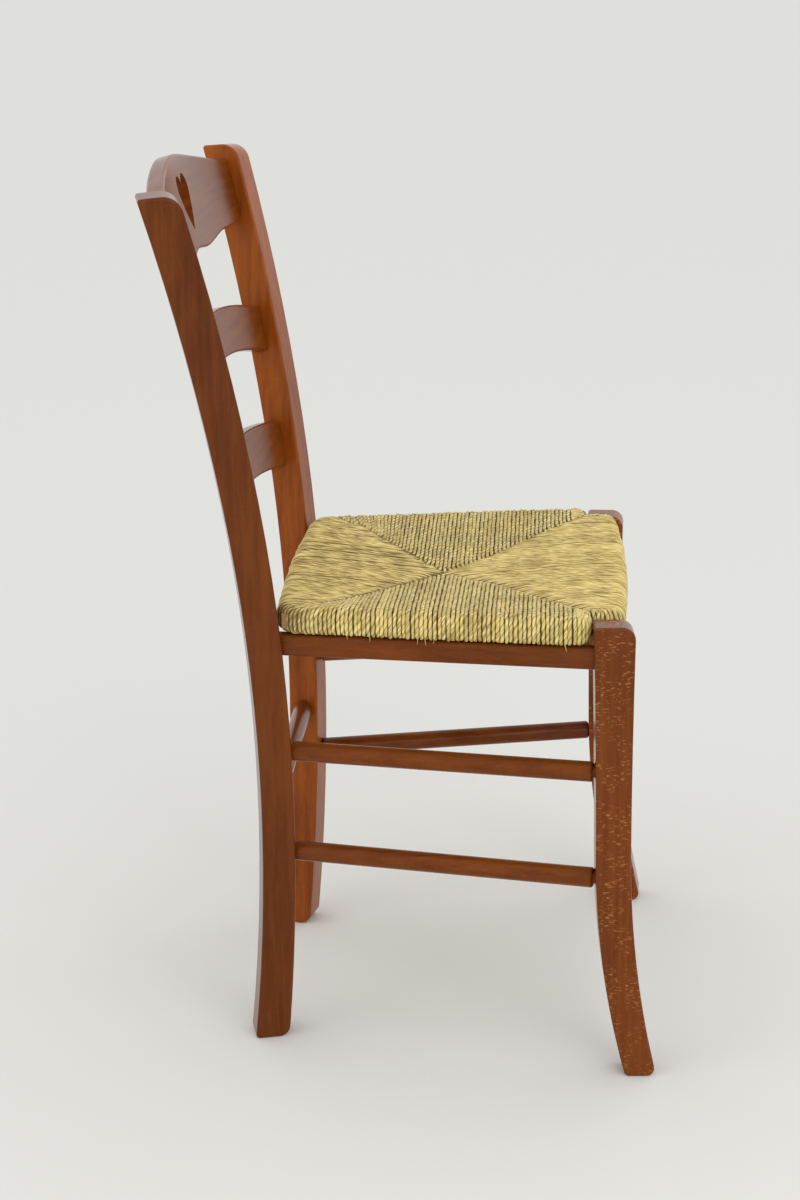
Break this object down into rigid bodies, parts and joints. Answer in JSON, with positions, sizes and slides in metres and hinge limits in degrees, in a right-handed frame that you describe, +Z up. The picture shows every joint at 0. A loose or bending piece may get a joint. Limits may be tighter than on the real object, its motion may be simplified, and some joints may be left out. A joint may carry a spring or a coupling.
{
  "type": "ladderback dining chair",
  "caption": "Wooden ladderback dining chair with splayed back posts, curved back slats, a heart cut-out in the crest, round stretchers and a woven rush seat.",
  "frame": {"origin": "on the floor under the middle of the chair's outline", "axes": "+Z up; the chair faces -Y, so the sitter's right hand is towards -X"},
  "size_m": [0.4898, 0.4972, 0.8883],
  "materials": {
    "stained_beech": "reddish-brown stain under satin lacquer",
    "woven_rush": "dry twisted straw cord",
    "bare_beech": "planed, unfinished",
    "stuffing": "packed rush ends",
    "screw_steel": "zinc plated"
  },
  "bodies": {
    "root": {"crest_rail": "stained_beech", "upper_slat": "stained_beech", "lower_slat": "stained_beech", "rear_post_left": "stained_beech", "rear_post_right": "stained_beech", "front_leg_left": "stained_beech", "front_leg_right": "stained_beech", "seat_rail_front": "stained_beech", "seat_rail_left": "stained_beech", "seat_rail_right": "stained_beech", "side_stretcher_upper_left": "stained_beech", "side_stretcher_upper_right": "stained_beech", "side_stretcher_lower_left": "stained_beech", "side_stretcher_lower_right": "stained_beech", "rear_stretcher": "stained_beech", "front_stretcher": "stained_beech", "rush_seat": "woven_rush", "seat_frame_front": "bare_beech", "seat_frame_rear": "bare_beech", "seat_frame_left": "bare_beech", "seat_frame_right": "bare_beech", "seat_stuffing": "stuffing", "seat_screws": "screw_steel"}
  },
  "joints": []
}
